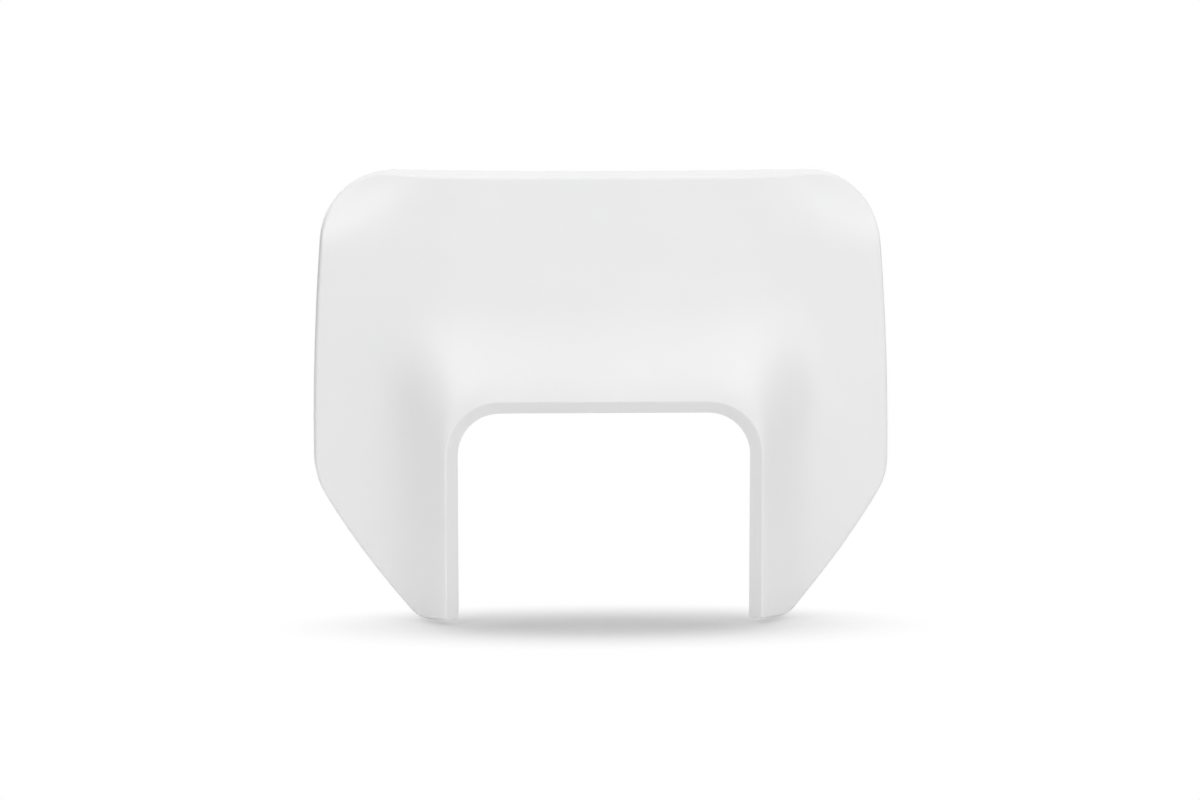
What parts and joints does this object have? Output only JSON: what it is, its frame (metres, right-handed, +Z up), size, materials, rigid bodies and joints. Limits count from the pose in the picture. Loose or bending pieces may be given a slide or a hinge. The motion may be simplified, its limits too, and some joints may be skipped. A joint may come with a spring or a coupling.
{
  "type": "headlight mask",
  "caption": "White moulded motorbike headlight mask: bowed shield with rounded shoulders, a hood round a lamp opening that is open at the foot, and a turned-back outer flange.",
  "frame": {"origin": "middle of the four screw bosses, on the plane where the bosses end at the back", "axes": "+X to the right as seen from the front, +Y to the back along the screws, +Z up"},
  "size_m": [0.2578, 0.0583, 0.1959],
  "materials": {
    "shell": "smooth white satin-gloss moulded plastic"
  },
  "bodies": {
    "root": {"headlight_mask": "shell"}
  },
  "joints": []
}
